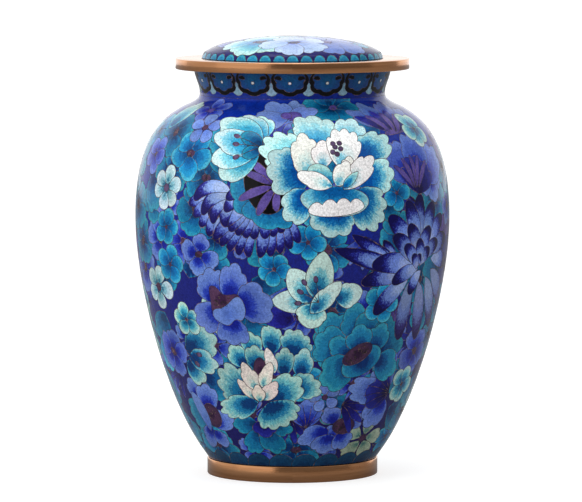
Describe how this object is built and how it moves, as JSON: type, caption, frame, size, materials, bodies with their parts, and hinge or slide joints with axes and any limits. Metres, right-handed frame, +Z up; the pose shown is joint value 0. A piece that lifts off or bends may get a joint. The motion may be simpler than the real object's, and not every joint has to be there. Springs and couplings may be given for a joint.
{
  "type": "cloisonne urn",
  "caption": "Footed enamelled copper urn, hollow, with a shouldered body, flared neck and a lift-off lid with a copper rim and a low enamelled dome.",
  "frame": {"origin": "centre of the foot ring's underside, on the surface that the urn stands on", "axes": "+Z up along the urn's axis; -Y is the side with the large white-edged peony, which faces the viewer"},
  "size_m": [0.18, 0.18, 0.2511],
  "materials": {
    "enamel": "polished vitreous enamel in cobalt, turquoise, periwinkle and white, divided by fine wires",
    "copper": "satin polished copper, turned marks running round"
  },
  "bodies": {
    "root": {"urn_body": "enamel", "foot_ring": "copper", "lid_rim": "copper", "lid_dome": "enamel"}
  },
  "joints": []
}
